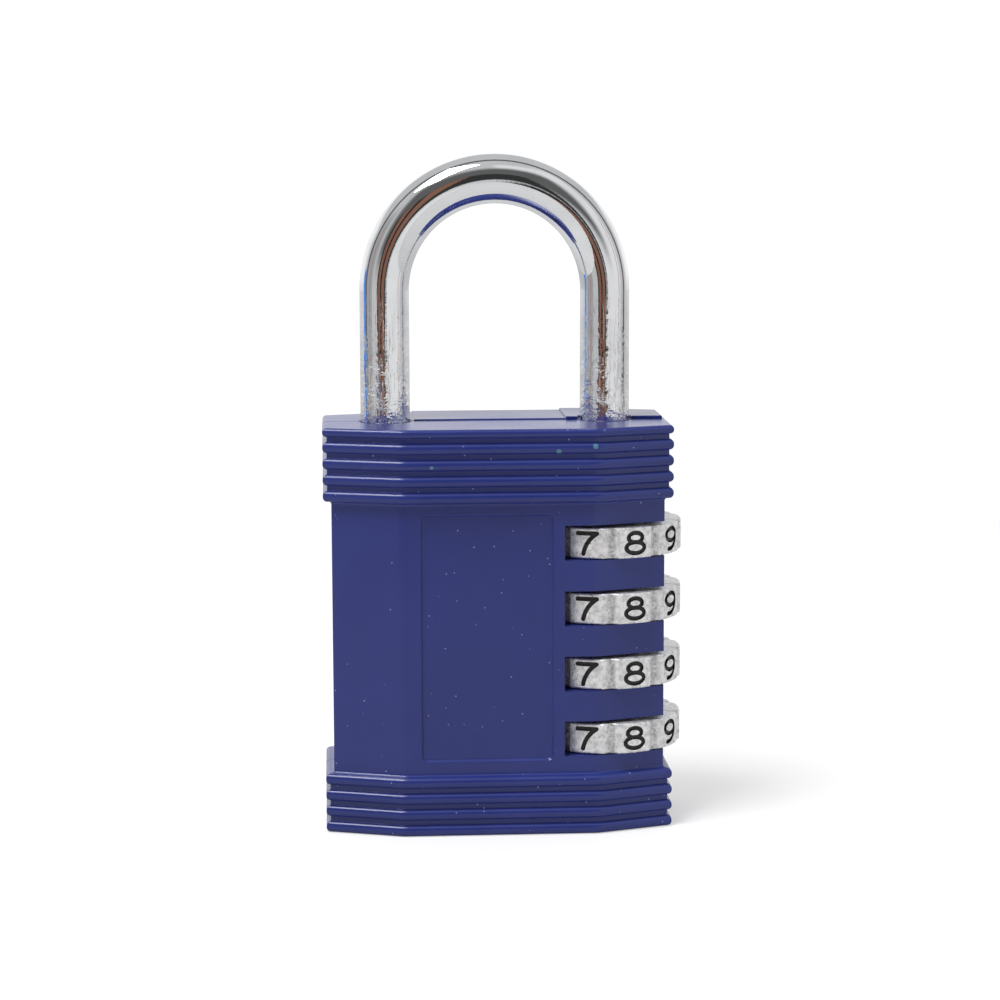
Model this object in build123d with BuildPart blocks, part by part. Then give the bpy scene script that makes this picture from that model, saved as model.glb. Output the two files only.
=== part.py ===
from build123d import *
import math
import os

# A padlock opened by four number dials that turn round the long leg of its shackle.
# Millimetres, +Z up. The origin is the middle of the flat bottom of the body.
# The front faces -Y, and the dials are on the right, at +X.

# Body
body_height = 49.2
band_half_width = 21.0
band_half_depth = 10.5
front_flat_half_width = 11.75
side_half_depth = 7.4
waist_inset = 1.0
side_corner_radius = 3.0
front_corner_radius = 3.0
rib_pitch = 1.95
rib_height = 1.35
rib_depth = 0.52
rib_edge_radius = 0.6
top_rib_count = 5
top_rib_height = 1.05
top_rib_edge_radius = 0.5
bottom_rib_count = 4
ledge_root_radius = 0.36
core_margin = 0.3
seam_width = 0.14
seam_depth = 0.6

# Top of the rear shell, which stands a little proud of the front one
rear_step_middle = 0.15
rear_step_right = 0.35
rear_step_start = -9.9
rear_step_change = 8.65
rear_step_inset = 0.55
rear_step_edge_radius = 0.12

# Recessed panel on the front and the rear
panel_left = -9.5
panel_right = 6.45
panel_bottom = 8.9
panel_top = 38.9
panel_depth = 0.32
panel_corner_radius = 0.7
panel_wall_slope = 40

# Shackle
shackle_radius = 3.0
long_leg_x = 13.35
short_leg_x = -13.35
shackle_top = 81.4
short_leg_end = 43.8
shoulder_level = 39.6
shaft_radius = 2.0
shaft_end = 5.7
lug_radius = 3.0
lug_half_width = 1.2
lug_height = 1.6
leg_clearance = 0.08
leg_mouth_chamfer = 0.25
short_leg_clearance = 0.15
short_leg_hole_floor = 43.3
leg_end_radius = 0.8
groove_overcut = 0.01

# Dials
dial_count = 4
dial_pitch = 7.95
dial_radius = 9.42
dial_height = 3.7
lowest_dial_base = 9.55
digits_per_dial = 10
groove_cutter_radius = 1.2
groove_cutter_offset = 0.85
groove_lip_radius = 0.15
dial_edge_radius = 0.22
notch_zone_height = 1.4
dial_bore_radius = 4.2
dial_notch_radius = 4.95
dial_notch_half_width = 0.72
dial_free_radius = 5.05
slot_radius = 9.8
slot_floor_gap = 0.1
slot_height = 4.2
window_left = 7.75

# Engraved digits
stroke_width = 0.54
engraving_depth = 0.3
digit_half_height = 1.23
digit_half_width = 1.17

# Code sleeves, round the shaft of the long leg
sleeve_radius = 4.1
sleeve_height = 7.9
sleeve_drop = 2.1
sleeve_cavity_radius = 3.12
sleeve_flange_height = 2.4
sleeve_flange_bore = 2.08
sleeve_slot_half_width = 1.35
sleeve_travel = 1.6
key_radius = 4.85
key_half_width = 0.6
key_height = 1.3
key_level = 2.35
sleeve_bore_radius = 4.2
sleeve_bore_floor = 1.2
sleeve_bore_top = 39.35
lug_headroom = 0.1

# Spring under the sleeves, its two rings, and the clip on the shaft
ring_inner_radius = 3.15
spring_radius = 3.6
spring_wire_radius = 0.3
spring_turns = 3.5
spring_bottom = 1.8
spring_top = 6.7
washer_base = 6.75
washer_height = 0.6
seat_base = 1.25
seat_height = 0.5
seat_inner_radius = 2.8
clip_base = 6.35
clip_height = 0.6
clip_inner_radius = 1.5
clip_groove_gap = 0.03
clip_mouth_half_width = 1.2

# Leaf springs that rest in two grooves of each dial
leaf_thickness = 0.25
leaf_height = 3.0
leaf_base_x = 2.1
leaf_base_half_width = 1.5
leaf_tip_reach = 9.26
leaf_arm_length = 2.6
leaf_bend_radius = 0.3
leaf_pocket_left = 1.95
leaf_pocket_right = 5.35
leaf_pocket_half_depth = 5.8

# Pins that hold the two shells together, and the cored pockets inside them
pin_radius = 1.2
pin_half_length = 4.5
pin_places = [(-6.5, 42.6), (5.0, 42.6), (-16.0, 2.4), (4.0, 2.4)]
pocket_width = 7.7
pocket_height = 9.6
pocket_rows = [9.3, 20.4, 31.5]
pocket_columns = [(-13.75, 5.0), (-4.65, 6.7)]
pocket_corner_radius = 1.0

bevel_angle = math.atan2(
    band_half_depth - side_half_depth, band_half_width - front_flat_half_width
)
digit_angle = 360 / digits_per_dial
dial_bases = [lowest_dial_base + i * dial_pitch for i in reversed(range(dial_count))]
shackle_half_span = (long_leg_x - short_leg_x) / 2
bow_centre_x = (long_leg_x + short_leg_x) / 2
bow_centre_z = shackle_top - shackle_radius - shackle_half_span
top_band_base = body_height - (top_rib_count - 1) * rib_pitch - top_rib_height
bottom_band_top = (bottom_rib_count - 1) * rib_pitch + rib_height

# Closer than this counts as touching
touch = 0.01

os.makedirs("parts", exist_ok=True)


def save(part, name):
    """Label a finished piece and write it as its own STEP file."""
    part.label = name
    export_step(part, f"parts/{name}.step")


def body_outline(inset):
    """Plan of the body: a rectangle with bevelled faces at both sides of each flat."""
    sine = math.sin(bevel_angle)
    cosine = math.cos(bevel_angle)
    side_x = band_half_width - inset
    flat_y = band_half_depth - inset
    flat_x = front_flat_half_width - inset * math.tan(bevel_angle / 2)
    bevel_run = side_x - front_flat_half_width
    side_y = band_half_depth - (inset + bevel_run * sine) / cosine
    quarter = [(side_x, side_y), (flat_x, flat_y)]
    left = [(-x, y) for x, y in reversed(quarter)]
    upper = quarter + left
    lower = [(x, -y) for x, y in reversed(upper)]
    Polygon(*upper, *lower, align=None)
    bevel_middle = (front_flat_half_width + band_half_width) / 2
    flat_corners = vertices().filter_by(lambda v: abs(v.X) < bevel_middle)
    side_corners = vertices().filter_by(lambda v: abs(v.X) > bevel_middle)
    fillet(flat_corners, radius=front_corner_radius)
    fillet(side_corners, radius=side_corner_radius)


def ring(centre_y, half_width, half_height):
    """Closed oval stroke of a digit."""
    grow = stroke_width / 2
    with Locations((0, centre_y)):
        Ellipse(half_width + grow, half_height + grow)
        Ellipse(half_width - grow, half_height - grow, mode=Mode.SUBTRACT)


def oval_stroke(centre_y, half_width, half_height, gap_start, gap_end):
    """Oval stroke with round ends, open between two angles."""
    reach = 4 * digit_half_height
    wedge = [(0, centre_y)]
    for angle in (gap_start, (gap_start + gap_end) / 2, gap_end):
        turn = math.radians(angle)
        wedge.append((reach * math.cos(turn), centre_y + reach * math.sin(turn)))
    with BuildSketch(Plane.XY, mode=Mode.PRIVATE) as open_ring:
        ring(centre_y, half_width, half_height)
        Polygon(*wedge, align=None, mode=Mode.SUBTRACT)
        for angle in (gap_start, gap_end):
            turn = math.radians(angle)
            across = half_height * math.cos(turn)
            along = half_width * math.sin(turn)
            radius = half_width * half_height / math.hypot(across, along)
            end = (radius * math.cos(turn), centre_y + radius * math.sin(turn))
            with Locations(end):
                Circle(stroke_width / 2)
    add(open_ring.sketch)


def bent_stroke(start, middle, end):
    """Stroke along a circular arc through three points."""
    with BuildLine(mode=Mode.PRIVATE) as pen:
        ThreePointArc(start, middle, end)
    SlotArc(pen.wire(), stroke_width)


def straight_strokes(*points):
    """Straight strokes with round ends, from point to point."""
    for start, end in zip(points, points[1:]):
        with BuildLine(mode=Mode.PRIVATE) as pen:
            Line(start, end)
        SlotArc(pen.wire(), stroke_width)


def draw_digit(digit):
    """One upright digit, centred on the sketch plane."""
    w = digit_half_width
    h = digit_half_height
    if digit == 0:
        ring(0, 0.92 * w, h)
    elif digit == 1:
        straight_strokes((-0.5 * w, 0.6 * h), (0.1 * w, h), (0.1 * w, -h))
    elif digit == 2:
        bent_stroke((-0.85 * w, 0.5 * h), (0, h), (0.85 * w, 0.45 * h))
        straight_strokes((0.85 * w, 0.45 * h), (-0.9 * w, -h), (0.95 * w, -h))
    elif digit == 3:
        oval_stroke(0.52 * h, 0.8 * w, 0.48 * h, 155, 265)
        oval_stroke(-0.48 * h, 0.95 * w, 0.52 * h, 95, 205)
    elif digit == 4:
        straight_strokes((0.5 * w, -h), (0.5 * w, h), (-w, -0.35 * h), (w, -0.35 * h))
    elif digit == 5:
        straight_strokes((0.8 * w, h), (-0.7 * w, h), (-0.8 * w, 0.05 * h))
        oval_stroke(-0.34 * h, 0.95 * w, 0.66 * h, 148, 208)
    elif digit == 6:
        ring(-0.4 * h, 0.92 * w, 0.6 * h)
        bent_stroke((-0.92 * w, -0.4 * h), (-0.6 * w, 0.6 * h), (0.5 * w, h))
    elif digit == 7:
        straight_strokes((-w, h), (w, h))
        bent_stroke((w, h), (0.05 * w, 0.1 * h), (-0.4 * w, -h))
    elif digit == 8:
        ring(0.52 * h, 0.76 * w, 0.48 * h)
        ring(-0.46 * h, w, 0.54 * h)
    else:
        ring(0.4 * h, 0.92 * w, 0.6 * h)
        bent_stroke((0.92 * w, 0.4 * h), (0.6 * w, -0.6 * h), (-0.5 * w, -h))


def rib(height, edge_radius):
    """One rib right round a band, on the origin, rounded above and below."""
    with BuildPart() as made:
        with BuildSketch():
            body_outline(0)
        extrude(amount=height)
        fillet(made.faces().filter_by(Axis.Z).edges(), radius=edge_radius)
    return made.part


def level_edges(shapes, level):
    """Edges of these shapes that lie flat at one level."""
    return shapes.edges().filter_by_position(Axis.Z, level - touch, level + touch)


full_rib = rib(rib_height, rib_edge_radius)
top_rib = rib(top_rib_height, top_rib_edge_radius)

# Whole body before it is cut in two
with BuildPart() as body:
    with BuildSketch(Plane.XY.offset(core_margin)):
        body_outline(waist_inset)
    extrude(amount=body_height - 2 * core_margin)
    for base, top in ((0, bottom_band_top), (top_band_base, body_height)):
        with BuildSketch(Plane.XY.offset(base + core_margin)):
            body_outline(rib_depth)
        extrude(amount=top - base - 2 * core_margin)
    for i in range(bottom_rib_count):
        with Locations((0, 0, i * rib_pitch)):
            add(full_rib)
    for i in range(top_rib_count - 1):
        with Locations((0, 0, top_band_base + i * rib_pitch)):
            add(full_rib)
    with Locations((0, 0, body_height - top_rib_height)):
        add(top_rib)

    # Round the root where the waist meets the two bands
    for level in (bottom_band_top, top_band_base):
        walls = body.faces().filter_by(lambda f: bottom_band_top < f.center().Z < top_band_base)
        fillet(level_edges(walls, level), radius=ledge_root_radius)

    # Recessed panel on both flats
    panel_width = panel_right - panel_left
    panel_height = panel_top - panel_bottom
    for side in (-1, 1):
        face_plane = Plane(
            origin=(0, side * (band_half_depth - waist_inset), 0),
            x_dir=(-side, 0, 0),
            z_dir=(0, side, 0),
        )
        with BuildSketch(face_plane):
            centre_x = (panel_left + panel_right) / 2
            with Locations((-side * centre_x, (panel_bottom + panel_top) / 2)):
                RectangleRounded(panel_width, panel_height, panel_corner_radius)
        extrude(amount=-panel_depth, taper=panel_wall_slope, mode=Mode.SUBTRACT)

    # Slot and windows of each dial, with the pocket of its leaf spring
    for base in dial_bases:
        with BuildSketch(Plane.XY.offset(base - slot_floor_gap)):
            with Locations((long_leg_x, 0)):
                Circle(slot_radius)
            window_width = band_half_width - window_left
            with Locations((window_left + window_width / 2, 0)):
                Rectangle(window_width, 2 * band_half_depth)
            pocket_width_x = leaf_pocket_right - leaf_pocket_left
            with Locations((leaf_pocket_left + pocket_width_x / 2, 0)):
                Rectangle(pocket_width_x, 2 * leaf_pocket_half_depth)
        extrude(amount=slot_height, mode=Mode.SUBTRACT)

    # Bore of the sleeves and of the long leg, and socket of the short leg
    with BuildSketch(Plane.XY.offset(sleeve_bore_floor)):
        with Locations((long_leg_x, 0)):
            Circle(sleeve_bore_radius)
    extrude(amount=sleeve_bore_top - sleeve_bore_floor, mode=Mode.SUBTRACT)
    with BuildSketch(Plane.XY.offset(sleeve_bore_top)):
        with Locations((long_leg_x, 0)):
            Circle(shackle_radius + leg_clearance)
    extrude(amount=body_height, mode=Mode.SUBTRACT)
    with BuildSketch(Plane.XY.offset(short_leg_hole_floor)):
        with Locations((short_leg_x, 0)):
            Circle(shackle_radius + short_leg_clearance)
    extrude(amount=body_height, mode=Mode.SUBTRACT)
    mouths = level_edges(body.part, body_height).filter_by(GeomType.CIRCLE)
    widest_mouth = shackle_radius + short_leg_clearance + touch
    mouths = mouths.filter_by(lambda e: shackle_radius < e.radius < widest_mouth)
    chamfer(mouths, length=leg_mouth_chamfer)

    # Cored pockets, which keep the castings thin
    for column_x, depth in pocket_columns:
        with BuildSketch(Plane.XZ.offset(-depth)):
            with Locations(*[(column_x, row) for row in pocket_rows]):
                RectangleRounded(pocket_width, pocket_height, pocket_corner_radius)
        extrude(amount=2 * depth, mode=Mode.SUBTRACT)

    # Holes of the assembly pins
    with BuildSketch(Plane.XZ.offset(-pin_half_length)):
        with Locations(*pin_places):
            Circle(pin_radius)
    extrude(amount=2 * pin_half_length, mode=Mode.SUBTRACT)

    # Fine groove along the parting line, over the top and down both sides
    with BuildSketch(Plane.XZ.offset(-seam_width / 2)):
        inner_width = 2 * (band_half_width - waist_inset - seam_depth)
        with Locations((0, body_height / 2)):
            Rectangle(3 * band_half_width, 2 * body_height)
        with Locations((0, body_height / 2 - seam_depth)):
            Rectangle(inner_width, body_height, mode=Mode.SUBTRACT)
    extrude(amount=seam_width, mode=Mode.SUBTRACT)

with BuildPart() as front_shell:
    add(body.part)
    split(bisect_by=Plane.XZ, keep=Keep.TOP)
save(front_shell.part, "front_shell")

with BuildPart() as rear_shell:
    add(body.part)
    split(bisect_by=Plane.XZ, keep=Keep.BOTTOM)
    for left, right, step in (
        (rear_step_start, rear_step_change, rear_step_middle),
        (rear_step_change, band_half_width, rear_step_right),
    ):
        with BuildPart(mode=Mode.PRIVATE) as raised_edge:
            with BuildSketch(Plane.XY.offset(body_height - core_margin)):
                body_outline(rear_step_inset)
                with Locations(((left + right) / 2, (band_half_depth + seam_width) / 2)):
                    Rectangle(right - left, band_half_depth, mode=Mode.INTERSECT)
                with Locations((short_leg_x, 0), (long_leg_x, 0)):
                    Circle(shackle_radius + leg_clearance + leg_mouth_chamfer, mode=Mode.SUBTRACT)
            extrude(amount=core_margin + step)
            fillet(level_edges(raised_edge.part, body_height + step), radius=rear_step_edge_radius)
        add(raised_edge.part)
save(rear_shell.part, "rear_shell")

# Pins pressed into both shells
with BuildPart() as assembly_pins:
    with BuildSketch(Plane.XZ.offset(-pin_half_length)):
        with Locations(*pin_places):
            Circle(pin_radius)
    extrude(amount=2 * pin_half_length)
save(assembly_pins.part, "assembly_pins")

# Shackle: a bent round bar, and the thin shaft of its long leg with four lugs
with BuildPart() as shackle:
    with BuildLine() as bow:
        Line((long_leg_x, 0, shoulder_level), (long_leg_x, 0, bow_centre_z))
        ThreePointArc(
            (long_leg_x, 0, bow_centre_z),
            (bow_centre_x, 0, bow_centre_z + shackle_half_span),
            (short_leg_x, 0, bow_centre_z),
        )
        Line((short_leg_x, 0, bow_centre_z), (short_leg_x, 0, short_leg_end))
    with BuildSketch(Plane.XY.offset(shoulder_level)):
        with Locations((long_leg_x, 0)):
            Circle(shackle_radius)
    sweep(path=bow.wire())
    fillet(level_edges(shackle.part, short_leg_end), radius=leg_end_radius)
    with BuildSketch(Plane.XY.offset(shaft_end)):
        with Locations((long_leg_x, 0)):
            Circle(shaft_radius)
    extrude(amount=shoulder_level - shaft_end)
    for base in dial_bases:
        flange_base = base - sleeve_drop + sleeve_height - sleeve_flange_height
        lug_top = flange_base - sleeve_travel - lug_headroom
        with BuildSketch(Plane.XY.offset(lug_top - lug_height)) as lug:
            with Locations((long_leg_x, 0)):
                Circle(lug_radius)
            with Locations((long_leg_x + lug_radius / 2, 0)):
                Rectangle(lug_radius, 2 * lug_half_width, mode=Mode.INTERSECT)
        extrude(amount=lug_height)
    with BuildSketch(Plane.XY.offset(clip_base - clip_groove_gap)):
        with Locations((long_leg_x, 0)):
            Circle(shaft_radius + groove_overcut)
            Circle(clip_inner_radius, mode=Mode.SUBTRACT)
    extrude(amount=clip_height + 2 * clip_groove_gap, mode=Mode.SUBTRACT)
save(shackle.part, "shackle")

with BuildPart() as retaining_clip:
    with BuildSketch(Plane.XY.offset(clip_base)):
        with Locations((long_leg_x, 0)):
            Circle(lug_radius)
            Circle(clip_inner_radius, mode=Mode.SUBTRACT)
        with Locations((long_leg_x - lug_radius / 2, 0)):
            Rectangle(lug_radius, 2 * clip_mouth_half_width, mode=Mode.SUBTRACT)
    extrude(amount=clip_height)
save(retaining_clip.part, "retaining_clip")

# One dial, on the origin: ten engraved faces, ten grooves, ten notches inside
with BuildPart() as dial:
    with BuildSketch():
        Circle(dial_radius)
        with PolarLocations(
            dial_radius + groove_cutter_offset, digits_per_dial, start_angle=digit_angle / 2
        ):
            Circle(groove_cutter_radius, mode=Mode.SUBTRACT)
        lips = vertices().filter_by(lambda v: v.center().length > dial_radius - touch)
        fillet(lips, radius=groove_lip_radius)
    extrude(amount=dial_height)
    rims = dial.faces().filter_by(Axis.Z).edges()
    fillet(rims, radius=dial_edge_radius)
    with BuildSketch():
        Circle(dial_free_radius)
    extrude(amount=dial_height - notch_zone_height, mode=Mode.SUBTRACT)
    with BuildSketch():
        Circle(dial_bore_radius)
        with PolarLocations(0, digits_per_dial):
            with Locations((dial_notch_radius / 2, 0)):
                Rectangle(dial_notch_radius, 2 * dial_notch_half_width)
    extrude(amount=dial_height, mode=Mode.SUBTRACT)
    for digit in range(digits_per_dial):
        angle = math.radians(digit * digit_angle)
        outward = (math.cos(angle), math.sin(angle), 0)
        sideways = (-math.sin(angle), math.cos(angle), 0)
        place = (dial_radius * outward[0], dial_radius * outward[1], dial_height / 2)
        with BuildSketch(Plane(origin=place, x_dir=sideways, z_dir=outward)):
            draw_digit(digit)
        extrude(amount=-engraving_depth, mode=Mode.SUBTRACT)

# One code sleeve, on the origin: a slotted flange above a wide cavity, and two keys
with BuildPart() as sleeve:
    with BuildSketch():
        Circle(sleeve_radius)
    extrude(amount=sleeve_height)
    with BuildSketch(Plane.XY.offset(sleeve_drop + key_level)):
        Circle(key_radius)
        Rectangle(2 * key_radius, 2 * key_half_width, mode=Mode.INTERSECT)
    extrude(amount=key_height)
    with BuildSketch():
        Circle(sleeve_cavity_radius)
    extrude(amount=sleeve_height - sleeve_flange_height, mode=Mode.SUBTRACT)
    with BuildSketch():
        Circle(sleeve_cavity_radius)
        with Locations((sleeve_cavity_radius / 2, 0)):
            Rectangle(sleeve_cavity_radius, 2 * sleeve_slot_half_width, mode=Mode.INTERSECT)
        Circle(sleeve_flange_bore)
    extrude(amount=sleeve_height, mode=Mode.SUBTRACT)

# One leaf spring: a flat back and two bent arms, each with its tip in a groove
tip_angle = math.radians(digit_angle / 2)
tip_x = long_leg_x - leaf_tip_reach * math.cos(tip_angle)
tip_y = leaf_tip_reach * math.sin(tip_angle)
arm_angle = math.pi / 4 + tip_angle
arm_end_x = tip_x - leaf_arm_length * math.cos(arm_angle)
arm_end_y = tip_y + leaf_arm_length * math.sin(arm_angle)
with BuildPart() as leaf_spring:
    with BuildSketch():
        with BuildLine() as leaf_path:
            FilletPolyline(
                (arm_end_x, -arm_end_y),
                (tip_x, -tip_y),
                (leaf_base_x, -leaf_base_half_width),
                (leaf_base_x, leaf_base_half_width),
                (tip_x, tip_y),
                (arm_end_x, arm_end_y),
                radius=leaf_bend_radius,
            )
        SlotArc(leaf_path.wire(), leaf_thickness)
    extrude(amount=leaf_height)

for number, base in enumerate(dial_bases, start=1):
    with BuildPart() as number_dial:
        with Locations((long_leg_x, 0, base)):
            add(dial.part)
    save(number_dial.part, f"number_dial_{number}")

    with BuildPart() as code_sleeve:
        with Locations((long_leg_x, 0, base - sleeve_drop)):
            add(sleeve.part)
    save(code_sleeve.part, f"sleeve_{number}")

    with BuildPart() as click_spring:
        with Locations((0, 0, base + (dial_height - leaf_height) / 2)):
            add(leaf_spring.part)
    save(click_spring.part, f"click_spring_{number}")

with BuildPart() as spring_washer:
    with BuildSketch(Plane.XY.offset(washer_base)):
        with Locations((long_leg_x, 0)):
            Circle(sleeve_radius)
            Circle(ring_inner_radius, mode=Mode.SUBTRACT)
    extrude(amount=washer_height)
save(spring_washer.part, "spring_washer")

with BuildPart() as spring_seat:
    with BuildSketch(Plane.XY.offset(seat_base)):
        with Locations((long_leg_x, 0)):
            Circle(sleeve_radius)
            Circle(seat_inner_radius, mode=Mode.SUBTRACT)
    extrude(amount=seat_height)
save(spring_seat.part, "spring_seat")

# Coil spring, from the seat up to the washer
coil_height = spring_top - spring_bottom - 2 * spring_wire_radius
with BuildPart() as sleeve_spring:
    with BuildLine() as coil:
        Helix(
            pitch=coil_height / spring_turns,
            height=coil_height,
            radius=spring_radius,
            center=(long_leg_x, 0, spring_bottom + spring_wire_radius),
        )
    with BuildSketch(Plane(origin=coil.line @ 0, z_dir=coil.line % 0)):
        Circle(spring_wire_radius)
    sweep(path=coil.line, is_frenet=True)
save(sleeve_spring.part, "sleeve_spring")
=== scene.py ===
import math

import bpy
from mathutils import Matrix, Vector


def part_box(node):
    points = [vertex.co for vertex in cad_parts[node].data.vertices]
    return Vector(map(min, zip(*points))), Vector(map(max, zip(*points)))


# Finishes, floor, light and camera for a padlock with four number dials.
# Metres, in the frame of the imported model: +Z up, front at -Y, dials at +X.

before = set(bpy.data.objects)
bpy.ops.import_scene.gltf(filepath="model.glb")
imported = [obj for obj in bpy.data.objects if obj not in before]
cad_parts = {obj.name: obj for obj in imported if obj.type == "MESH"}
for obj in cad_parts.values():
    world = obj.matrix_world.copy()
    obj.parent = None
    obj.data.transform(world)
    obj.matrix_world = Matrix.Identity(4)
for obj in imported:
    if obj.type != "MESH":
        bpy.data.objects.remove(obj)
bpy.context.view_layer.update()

MM = 0.001
dial_nodes = [f"number_dial_{i}" for i in (1, 2, 3, 4)]
sleeve_nodes = [f"sleeve_{i}" for i in (1, 2, 3, 4)]
click_nodes = [f"click_spring_{i}" for i in (1, 2, 3, 4)]

# Places worked out from the frame
top_dial_low, top_dial_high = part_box(dial_nodes[0])
next_dial_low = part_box(dial_nodes[1])[0]
low_dial_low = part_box(dial_nodes[3])[0]
dial_axis_x = (top_dial_low[0] + top_dial_high[0]) / 2
dial_axis_y = (top_dial_low[1] + top_dial_high[1]) / 2
dial_radius = (top_dial_high[0] - top_dial_low[0]) / 2
dial_height = top_dial_high[2] - top_dial_low[2]
dial_pitch = top_dial_low[2] - next_dial_low[2]
shell_low, shell_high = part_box("front_shell")
body_middle_z = (shell_low[2] + shell_high[2]) / 2
waist_half_height = 16.0 * MM
faces_per_dial = 10
face_angle = 360 / faces_per_dial
pitted_from = shell_high[2] + 2 * MM
pitted_to = shell_high[2] + 17 * MM

# Camera, a little above the top of the shackle and a little to the left
camera_place = Vector((-19.21, -316.88, 84.50)) * MM
camera_pitch = math.radians(8.094)
camera_turn = math.radians(3.574)
camera_roll = math.radians(0.143)
camera_lens = 94.4
camera_film = 36.0

# Floor, and the one lamp high at the left of the front
floor_reach = 270 * MM
floor_segments = 96
lamp_place = Vector((-242, -189, 659)) * MM
lamp_aim = Vector((0, 0, 30)) * MM
lamp_side = 300 * MM
lamp_power = 3.9

# Levels of the light that comes from all round
backdrop_level = 1.05
tent_level = 0.62
gap_level = 0.13

# Colours of the finishes, and of what the chrome mirrors
deep_navy = (0.019, 0.031, 0.190, 1.0)
light_navy = (0.023, 0.037, 0.214, 1.0)
worn_navy = (0.10, 0.12, 0.34, 1.0)
chip_teal = (0.10, 0.26, 0.34, 1.0)
dust_grey = (0.34, 0.36, 0.52, 1.0)
dark_chrome = (0.72, 0.73, 0.75, 1.0)
light_chrome = (0.80, 0.81, 0.825, 1.0)
dark_dial = (0.66, 0.67, 0.685, 1.0)
door_brown = (0.26, 0.13, 0.09, 1.0)
strip_blue = (0.09, 0.30, 0.90, 1.0)
trim_red = (0.45, 0.14, 0.11, 1.0)

# Rays that the edge rounding of each finish takes
edge_samples = 6


# ---------------------------------------------------------------- node helpers


def place(tree, kind, links=None, **settings):
    """Put one shader node in a tree, set it up and wire or fill its inputs."""
    node = tree.nodes.new("ShaderNode" + kind)
    for name, value in settings.items():
        setattr(node, name, value)
    for socket, value in (links or {}).items():
        if isinstance(value, bpy.types.NodeSocket):
            tree.links.new(value, node.inputs[socket])
        else:
            node.inputs[socket].default_value = value
    return node


def maths(tree, operation, *values, clamp=False):
    """One Math node, from its operation and its inputs in order."""
    links = dict(enumerate(values))
    return place(tree, "Math", links, operation=operation, use_clamp=clamp).outputs[0]


def soft_step(tree, value, low, high):
    """0 at low and 1 at high, with a smooth change between them."""
    links = {"Value": value, "From Min": low, "From Max": high}
    node = place(tree, "MapRange", links, interpolation_type="SMOOTHSTEP")
    return node.outputs["Result"]


def blend_colour(tree, factor, first, second):
    """First colour where factor is 0, second where it is 1."""
    node = place(tree, "Mix", data_type="RGBA", clamp_factor=True)
    for socket, value in ((0, factor), (6, first), (7, second)):
        if isinstance(value, bpy.types.NodeSocket):
            tree.links.new(value, node.inputs[socket])
        else:
            node.inputs[socket].default_value = value
    return node.outputs[2]


def blend_value(tree, factor, first, second):
    """First value where factor is 0, second where it is 1."""
    links = {"Value": factor, "To Min": first, "To Max": second}
    return place(tree, "MapRange", links).outputs["Result"]


def effect(name, inputs, outputs):
    """An empty shader node group with float sockets of these names."""
    tree = bpy.data.node_groups.new(name, "ShaderNodeTree")
    for socket, value in inputs.items():
        made = tree.interface.new_socket(socket, in_out="INPUT", socket_type="NodeSocketFloat")
        made.default_value = value
    for socket in outputs:
        tree.interface.new_socket(socket, in_out="OUTPUT", socket_type="NodeSocketFloat")
    return tree, tree.nodes.new("NodeGroupInput").outputs, tree.nodes.new("NodeGroupOutput").inputs


def use(tree, group, **inputs):
    """Place an effect in a material, with its own values."""
    node = place(tree, "Group")
    node.node_tree = group
    for name, value in inputs.items():
        socket = node.inputs[name.replace("_", " ")]
        if isinstance(value, bpy.types.NodeSocket):
            tree.links.new(value, socket)
        else:
            socket.default_value = value
    return node.outputs


def metal_or_paint(name):
    """A new material, its node tree and its one Principled shader."""
    material = bpy.data.materials.new(name)
    material.use_nodes = True
    tree = material.node_tree
    shader = tree.nodes["Principled BSDF"]
    return material, tree, shader


def grey(value):
    """A neutral colour."""
    return (value, value, value, 1.0)


def on_object(tree):
    """Where a point is on the object, in metres."""
    return place(tree, "TexCoord").outputs["Object"]


def axes_on_object(tree):
    """The same place as separate X, Y and Z."""
    return place(tree, "SeparateXYZ", {0: on_object(tree)}).outputs


def rounded_normal(tree, radius):
    """Normal with every edge rounded to a radius."""
    return place(tree, "Bevel", {"Radius": radius}, samples=edge_samples).outputs["Normal"]


def dress(tree, shader, colour, rough, **bump_links):
    """Wire colour, roughness and a bumped normal into a shader."""
    bump = place(tree, "Bump", bump_links)
    tree.links.new(colour, shader.inputs["Base Color"])
    tree.links.new(rough, shader.inputs["Roughness"])
    tree.links.new(bump.outputs["Normal"], shader.inputs["Normal"])


# ------------------------------------------------------------- shared effects


def make_tone_drift():
    """Slow change of tone over a surface, as castings and plating have."""
    tree, given, out = effect("tone_drift", {"Size": 8 * MM, "Detail": 3.0}, ["Tone"])
    where = on_object(tree)
    scale = maths(tree, "DIVIDE", 1.0, given["Size"])
    links = {"Vector": where, "Scale": scale, "Detail": given["Detail"]}
    cloud = place(tree, "TexNoise", links).outputs["Fac"]
    tree.links.new(soft_step(tree, cloud, 0.32, 0.68), out["Tone"])
    return tree


def make_cast_skin():
    """Fine pimpled skin of a die casting or of sprayed paint, as a height."""
    tree, given, out = effect("cast_skin", {"Size": 0.3 * MM, "Waviness": 0.3}, ["Height"])
    where = on_object(tree)
    fine = maths(tree, "DIVIDE", 1.0, given["Size"])
    fine_links = {"Vector": where, "Scale": fine, "Detail": 2.0, "Roughness": 0.55}
    pimples = place(tree, "TexNoise", fine_links).outputs["Fac"]
    broad = maths(tree, "DIVIDE", fine, 9.0)
    broad_links = {"Vector": where, "Scale": broad, "Detail": 1.0}
    waves = place(tree, "TexNoise", broad_links).outputs["Fac"]
    lift = maths(tree, "MULTIPLY", waves, maths(tree, "MULTIPLY", given["Waviness"], 6.0))
    tree.links.new(maths(tree, "ADD", pimples, lift), out["Height"])
    return tree


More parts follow.
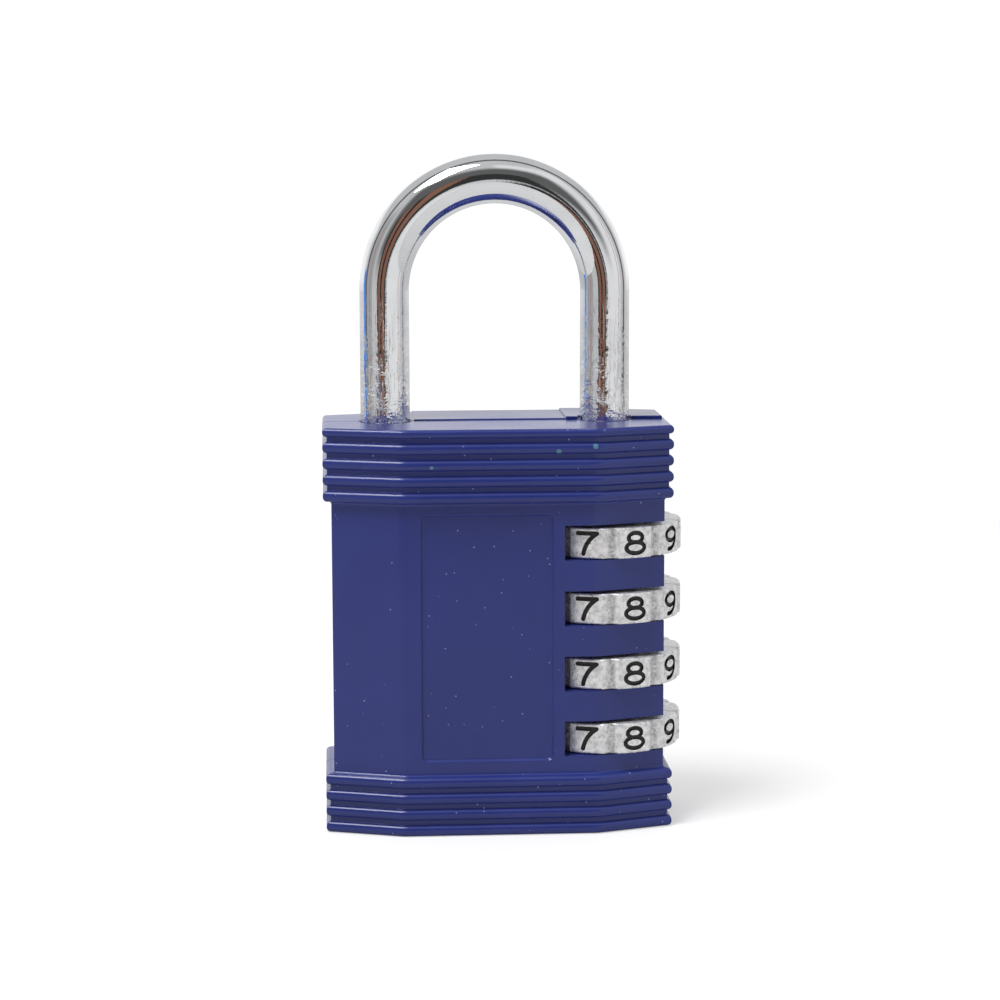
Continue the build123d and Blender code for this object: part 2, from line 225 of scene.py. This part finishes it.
def make_dust():
    """Small round specks of dust and lint, some bigger than others."""
    names = {"Spacing": 1.6 * MM, "Share": 0.2, "Size": 0.09 * MM}
    tree, given, out = effect("dust_specks", names, ["Mask"])
    where = on_object(tree)
    scale = maths(tree, "DIVIDE", 1.0, given["Spacing"])
    cells = place(tree, "TexVoronoi", {"Vector": where, "Scale": scale}, feature="F1")
    parts = place(tree, "SeparateColor", {"Color": cells.outputs["Color"]}).outputs
    chosen = maths(tree, "LESS_THAN", parts["Red"], given["Share"])
    reach = maths(tree, "MULTIPLY", cells.outputs["Distance"], given["Spacing"])
    size = maths(tree, "MULTIPLY", given["Size"], maths(tree, "ADD", parts["Green"], 0.3))
    inside = maths(tree, "LESS_THAN", reach, size)
    tree.links.new(maths(tree, "MULTIPLY", chosen, inside), out["Mask"])
    return tree


def make_worn_edges():
    """Mask of the outer edges, broken up as handling wears them."""
    tree, given, out = effect("worn_edges", {"Width": 0.25 * MM, "Breakup": 0.5}, ["Mask"])
    flat = place(tree, "NewGeometry").outputs["Normal"]
    rounded = rounded_normal(tree, given["Width"])
    along = place(tree, "VectorMath", {0: flat, 1: rounded}, operation="DOT_PRODUCT").outputs["Value"]
    edge = soft_step(tree, along, 0.985, 0.90)
    where = on_object(tree)
    links = {"Vector": where, "Scale": 1.0 / (0.9 * MM), "Detail": 5.0, "Roughness": 0.7}
    patches = place(tree, "TexNoise", links).outputs["Fac"]
    kept = soft_step(tree, patches, given["Breakup"], maths(tree, "ADD", given["Breakup"], 0.08))
    tree.links.new(maths(tree, "MULTIPLY", edge, kept), out["Mask"])
    return tree


def make_scratches():
    """Fine scratches that run along Z."""
    names = {"Width": 0.05 * MM, "Length": 3.0 * MM, "Share": 0.5}
    tree, given, out = effect("fine_scratches", names, ["Mask"])
    where = axes_on_object(tree)
    across_x = maths(tree, "DIVIDE", where["X"], given["Width"])
    across_y = maths(tree, "DIVIDE", where["Y"], given["Width"])
    along_z = maths(tree, "DIVIDE", where["Z"], given["Length"])
    stretched = place(tree, "CombineXYZ", {0: across_x, 1: across_y, 2: along_z}).outputs[0]
    lines = place(tree, "TexNoise", {"Vector": stretched, "Scale": 0.35, "Detail": 2.0}).outputs["Fac"]
    limit = maths(tree, "SUBTRACT", 0.72, maths(tree, "MULTIPLY", given["Share"], 0.2))
    thin = soft_step(tree, lines, limit, maths(tree, "ADD", limit, 0.05))
    tree.links.new(thin, out["Mask"])
    return tree


tone_drift = make_tone_drift()
cast_skin = make_cast_skin()
dust_specks = make_dust()
worn_edges = make_worn_edges()
fine_scratches = make_scratches()


# -------------------------------------------------------------------- finishes


def navy_paint():
    """Semi-gloss navy paint on die-cast zinc, with dust and small chips on its bands."""
    material, tree, shader = metal_or_paint("navy_paint")
    where = axes_on_object(tree)
    tone = use(tree, tone_drift, Size=14 * MM, Detail=4.0)["Tone"]
    colour = blend_colour(tree, tone, deep_navy, light_navy)
    worn = use(tree, worn_edges, Width=0.18 * MM, Breakup=0.60)["Mask"]
    colour = blend_colour(tree, maths(tree, "MULTIPLY", worn, 0.3), colour, worn_navy)
    off_middle = maths(tree, "ABSOLUTE", maths(tree, "SUBTRACT", where["Z"], body_middle_z))
    on_bands = soft_step(tree, off_middle, waist_half_height, waist_half_height + 1.0 * MM)
    chips = use(tree, dust_specks, Spacing=5.0 * MM, Share=0.4, Size=0.26 * MM)["Mask"]
    chips = maths(tree, "MULTIPLY", chips, on_bands)
    colour = blend_colour(tree, maths(tree, "MULTIPLY", chips, 0.85), colour, chip_teal)
    dust = use(tree, dust_specks, Spacing=1.1 * MM, Share=0.5, Size=0.085 * MM)["Mask"]
    colour = blend_colour(tree, maths(tree, "MULTIPLY", dust, 0.75), colour, dust_grey)
    rough = blend_value(tree, tone, 0.20, 0.26)
    rough = maths(tree, "ADD", rough, maths(tree, "MULTIPLY", dust, 0.4))
    skin = use(tree, cast_skin, Size=0.35 * MM, Waviness=0.5)["Height"]
    height = maths(tree, "ADD", skin, maths(tree, "MULTIPLY", dust, 2.5))
    bumps = {"Strength": 0.25, "Distance": 0.006 * MM, "Height": height}
    dress(tree, shader, colour, rough, Normal=rounded_normal(tree, 0.2 * MM), **bumps)
    shader.inputs["IOR"].default_value = 1.48
    return material


def chrome_plate():
    """Bright chrome, scratched and pitted where the legs slide in the body."""
    material, tree, shader = metal_or_paint("chrome_plate")
    where = axes_on_object(tree)
    low_part = soft_step(tree, where["Z"], pitted_to, pitted_from)
    tone = use(tree, tone_drift, Size=5 * MM, Detail=3.0)["Tone"]
    scratch = use(tree, fine_scratches, Width=0.06 * MM, Length=1.4 * MM, Share=0.75)["Mask"]
    scratch = maths(tree, "MULTIPLY", scratch, low_part)
    pits = use(tree, cast_skin, Size=0.5 * MM, Waviness=0.1)["Height"]
    patches = use(tree, tone_drift, Size=2.6 * MM, Detail=5.0)["Tone"]
    pitted = maths(tree, "MULTIPLY", low_part, patches)
    colour = blend_colour(tree, tone, dark_chrome, light_chrome)
    rough = maths(tree, "ADD", 0.03, maths(tree, "MULTIPLY", pitted, 0.02))
    rough = maths(tree, "ADD", rough, maths(tree, "MULTIPLY", scratch, 0.05))
    rise = maths(tree, "MULTIPLY", pits, maths(tree, "ADD", 0.04, pitted))
    height = maths(tree, "SUBTRACT", rise, maths(tree, "MULTIPLY", scratch, 0.6))
    dress(tree, shader, colour, rough, Strength=0.6, Distance=0.12 * MM, Height=height)
    shader.inputs["Metallic"].default_value = 1.0
    return material


def place_on_dial(tree):
    """Depth below the rim of a dial, and distance from the middle of the nearest face, in faces."""
    where = axes_on_object(tree)
    x = maths(tree, "SUBTRACT", where["X"], dial_axis_x)
    y = maths(tree, "SUBTRACT", where["Y"], dial_axis_y)
    square = maths(tree, "ADD", maths(tree, "MULTIPLY", x, x), maths(tree, "MULTIPLY", y, y))
    depth = maths(tree, "SUBTRACT", dial_radius, maths(tree, "SQRT", square))
    turn = maths(tree, "DIVIDE", maths(tree, "ARCTAN2", y, x), math.radians(face_angle))
    off_face = maths(tree, "ABSOLUTE", maths(tree, "SUBTRACT", turn, maths(tree, "ROUND", turn)))
    return depth, off_face


def ink_mask(tree, depth, off_face):
    """Where black paint fills the engraved digits: below a face, and away from grooves and edges."""
    where = on_object(tree)
    ragged_links = {"Vector": where, "Scale": 1 / (0.16 * MM), "Detail": 3.0}
    ragged = place(tree, "TexNoise", ragged_links).outputs["Fac"]
    limit = maths(tree, "ADD", 0.01 * MM, maths(tree, "MULTIPLY", ragged, 0.08 * MM))
    sunk = maths(tree, "GREATER_THAN", depth, limit)
    outer = maths(tree, "LESS_THAN", depth, 0.6 * MM)
    on_face = maths(tree, "LESS_THAN", off_face, 0.285)
    height = place(tree, "SeparateXYZ", {0: where}).outputs["Z"]
    level = maths(tree, "MODULO", maths(tree, "SUBTRACT", height, low_dial_low[2]), dial_pitch)
    above = maths(tree, "GREATER_THAN", level, 0.28 * MM)
    below = maths(tree, "LESS_THAN", level, dial_height - 0.28 * MM)
    ink = maths(tree, "MULTIPLY", sunk, on_face)
    ink = maths(tree, "MULTIPLY", ink, maths(tree, "MULTIPLY", above, below))
    return maths(tree, "MULTIPLY", ink, outer)


def dial_metal():
    """Bright cast zinc, with black paint in the digits, and painted shade mixed with patches of grime
    in the grooves.
    """
    material, tree, shader = metal_or_paint("dial_metal")
    tone = use(tree, tone_drift, Size=0.7 * MM, Detail=6.0)["Tone"]
    colour = blend_colour(tree, tone, dark_dial, grey(1.0))
    depth, off_face = place_on_dial(tree)
    speckle = use(tree, tone_drift, Size=0.35 * MM, Detail=5.0)["Tone"]
    # Painted shade: the grooves between faces are darkened where they would fall into shadow, broken
    # into patches that also stand for real grime.
    in_groove = soft_step(tree, off_face, 0.38, 0.46)
    groove_shade_and_grime = maths(tree, "MULTIPLY", in_groove, speckle)
    colour = blend_colour(tree, maths(tree, "MULTIPLY", groove_shade_and_grime, 0.7), colour, grey(0.10))
    worn = use(tree, worn_edges, Width=0.15 * MM, Breakup=0.42)["Mask"]
    colour = blend_colour(tree, maths(tree, "MULTIPLY", worn, 0.6), colour, grey(0.98))
    grime = use(tree, dust_specks, Spacing=0.7 * MM, Share=0.5, Size=0.08 * MM)["Mask"]
    colour = blend_colour(tree, maths(tree, "MULTIPLY", grime, 0.7), colour, grey(0.10))
    ink = ink_mask(tree, depth, off_face)
    colour = blend_colour(tree, ink, colour, grey(0.004))
    bare = maths(tree, "SUBTRACT", 1.0, ink)
    tree.links.new(maths(tree, "MULTIPLY", bare, 0.5), shader.inputs["Metallic"])
    rough = blend_value(tree, tone, 0.24, 0.40)
    skin = use(tree, cast_skin, Size=0.22 * MM, Waviness=0.35)["Height"]
    bumps = {"Strength": 0.9, "Distance": 0.09 * MM, "Height": skin}
    dress(tree, shader, colour, rough, Normal=rounded_normal(tree, 0.05 * MM), **bumps)
    return material


def plain_metal(name, dark, light, roughness, skin_size, skin_depth):
    """Bare metal of the inner pieces: cast, turned or drawn."""
    material, tree, shader = metal_or_paint(name)
    tone = use(tree, tone_drift, Size=3.0 * MM, Detail=4.0)["Tone"]
    colour = blend_colour(tree, tone, grey(dark), grey(light))
    worn = use(tree, worn_edges, Width=0.12 * MM, Breakup=0.45)["Mask"]
    colour = blend_colour(tree, maths(tree, "MULTIPLY", worn, 0.5), colour, grey(min(1.0, light * 1.3)))
    scratch = use(tree, fine_scratches, Width=0.05 * MM, Length=1.0 * MM, Share=0.4)["Mask"]
    rough = blend_value(tree, tone, roughness, roughness + 0.1)
    rough = maths(tree, "ADD", rough, maths(tree, "MULTIPLY", scratch, 0.1))
    skin = use(tree, cast_skin, Size=skin_size, Waviness=0.2)["Height"]
    height = maths(tree, "SUBTRACT", skin, scratch)
    dress(tree, shader, colour, rough, Strength=0.4, Distance=skin_depth, Height=height)
    shader.inputs["Metallic"].default_value = 1.0
    return material


def finish_nodes(material, *names):
    """Give CAD nodes their finish."""
    for name in names:
        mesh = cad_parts[name].data
        mesh.materials.clear()
        mesh.materials.append(material)


finish_nodes(navy_paint(), "front_shell", "rear_shell")
finish_nodes(chrome_plate(), "shackle")
finish_nodes(dial_metal(), *dial_nodes)
finish_nodes(plain_metal("cast_zinc", 0.42, 0.58, 0.42, 0.25 * MM, 0.012 * MM), *sleeve_nodes)
finish_nodes(
    plain_metal("spring_wire", 0.30, 0.42, 0.30, 0.15 * MM, 0.004 * MM),
    "sleeve_spring", "retaining_clip", *click_nodes,
)
finish_nodes(
    plain_metal("turned_steel", 0.50, 0.62, 0.22, 0.12 * MM, 0.003 * MM),
    "spring_washer", "spring_seat", "assembly_pins",
)


# ------------------------------------------------------------ floor and light


def pale_floor():
    """A round white board under the lock."""
    turns = [2 * math.pi * i / floor_segments for i in range(floor_segments)]
    rim = [(floor_reach * math.cos(turn), floor_reach * math.sin(turn), 0.0) for turn in turns]
    mesh = bpy.data.meshes.new("pale_floor")
    mesh.from_pydata(rim, [], [list(range(floor_segments))])
    floor = bpy.data.objects.new("pale_floor", mesh)
    bpy.context.scene.collection.objects.link(floor)
    material, tree, shader = metal_or_paint("pale_board")
    tone = use(tree, tone_drift, Size=60 * MM, Detail=2.0)["Tone"]
    tree.links.new(blend_colour(tree, tone, grey(0.65), grey(0.67)), shader.inputs["Base Color"])
    seen = place(tree, "LightPath").outputs["Is Camera Ray"]
    tree.links.new(maths(tree, "MULTIPLY", seen, 0.36), shader.inputs["Emission Strength"])
    shader.inputs["Emission Color"].default_value = grey(1.0)
    shader.inputs["Roughness"].default_value = 0.6
    shader.inputs["Specular IOR Level"].default_value = 0.2
    mesh.materials.append(material)


def band(tree, value, low, high, softness):
    """1 between low and high, fading over softness at both ends."""
    rise = soft_step(tree, value, low - softness, low)
    fall = soft_step(tree, value, high + softness, high)
    return maths(tree, "MULTIPLY", rise, fall)


# Patches of light and dark round the lock, each over the ones before it. Every patch has its
# turn to the right of the front and its rise above the level, in degrees, each from, to and
# softness, and then its colour.
front_patches = [
    # Right and left sides of the tent
    ((10.0, 70.0, 8.0), (-40.0, 58.0, 12.0), grey(0.88)),
    ((-98.0, -62.0, 4.0), (-40.0, 30.0, 12.0), grey(0.42)),
    # Open front: a dim ceiling, a dark room that widens upwards, and two wooden doors
    ((-38.0, 28.0, 22.0), (14.0, 40.0, 16.0), grey(0.13)),
    ((-34.0, 1.0, 3.0), (-40.0, 20.0, 5.0), grey(0.03)),
    ((-2.0, 9.0, 3.0), (-2.0, 20.0, 3.0), grey(0.04)),
    ((-30.0, -21.0, 1.0), (-40.0, 20.0, 5.0), door_brown),
    ((-14.0, -3.0, 1.0), (-40.0, 20.0, 5.0), door_brown),
]
side_strips = [
    ((-110.0, -99.0, 1.0), (-40.0, 4.0, 4.0), strip_blue),
    ((-74.0, -72.5, 0.5), (-40.0, 25.0, 6.0), trim_red),
    ((65.0, 66.5, 0.5), (-40.0, 25.0, 6.0), trim_red),
]


def add_patches(tree, light, turn, rise, patches):
    """Light with each of these patches laid over it in turn."""
    for turns, rises, colour in patches:
        patch = maths(tree, "MULTIPLY", band(tree, turn, *turns), band(tree, rise, *rises))
        light = blend_colour(tree, patch, light, colour)
    return light


def studio_light():
    """A pale tent round the lock, with a dark room seen through its open front."""
    world = bpy.data.worlds.new("pale_tent")
    bpy.context.scene.world = world
    world.use_nodes = True
    tree = world.node_tree
    sky = tree.nodes["Background"]
    way = place(tree, "SeparateXYZ", {0: place(tree, "TexCoord").outputs["Generated"]}).outputs
    to_front = maths(tree, "MULTIPLY", way["Y"], -1.0)
    turn = maths(tree, "DEGREES", maths(tree, "ARCTAN2", way["X"], to_front))
    rise = maths(tree, "DEGREES", maths(tree, "ARCSINE", way["Z"]))

    # The tent, and a brighter sheet behind the lock
    behind = soft_step(tree, way["Y"], 0.2, 0.6)
    backdrop = maths(tree, "MULTIPLY", behind, band(tree, rise, 1.0, 22.0, 8.0))
    light = blend_colour(tree, backdrop, grey(tent_level), grey(backdrop_level))
    light = add_patches(tree, light, turn, rise, front_patches)

    # A dark gap overhead between front and back, then a blue strip and red trim at the sides
    not_below = soft_step(tree, rise, -40.0, -30.0)
    gap = maths(tree, "MULTIPLY", band(tree, way["Y"], 0.02, 0.12, 0.05), not_below)
    light = blend_colour(tree, gap, light, grey(gap_level))
    light = add_patches(tree, light, turn, rise, side_strips)

    seen = place(tree, "LightPath").outputs["Is Camera Ray"]
    tree.links.new(blend_colour(tree, seen, light, grey(backdrop_level)), sky.inputs["Color"])


def softbox():
    """One square soft light above the front left."""
    lamp = bpy.data.lights.new("softbox", "AREA")
    lamp.shape = "SQUARE"
    lamp.size = lamp_side
    lamp.energy = lamp_power
    holder = bpy.data.objects.new("softbox", lamp)
    holder.location = lamp_place
    holder.rotation_euler = (lamp_aim - lamp_place).to_track_quat("-Z", "Y").to_euler()
    bpy.context.scene.collection.objects.link(holder)


def stand_camera():
    """Camera a little above the lock and to its left, with a long lens."""
    view = bpy.data.cameras.new("camera")
    view.lens = camera_lens
    view.sensor_width = camera_film
    view.clip_start = 0.01
    holder = bpy.data.objects.new("camera", view)
    aim = Matrix.Rotation(-camera_turn, 4, "Z") @ Matrix.Rotation(math.pi / 2 - camera_pitch, 4, "X")
    aim = aim @ Matrix.Rotation(-camera_roll, 4, "Z")
    holder.matrix_world = Matrix.Translation(camera_place) @ aim
    bpy.context.scene.collection.objects.link(holder)
    bpy.context.scene.camera = holder


pale_floor()
studio_light()
softbox()
stand_camera()
bpy.context.scene.view_settings.view_transform = "Standard"
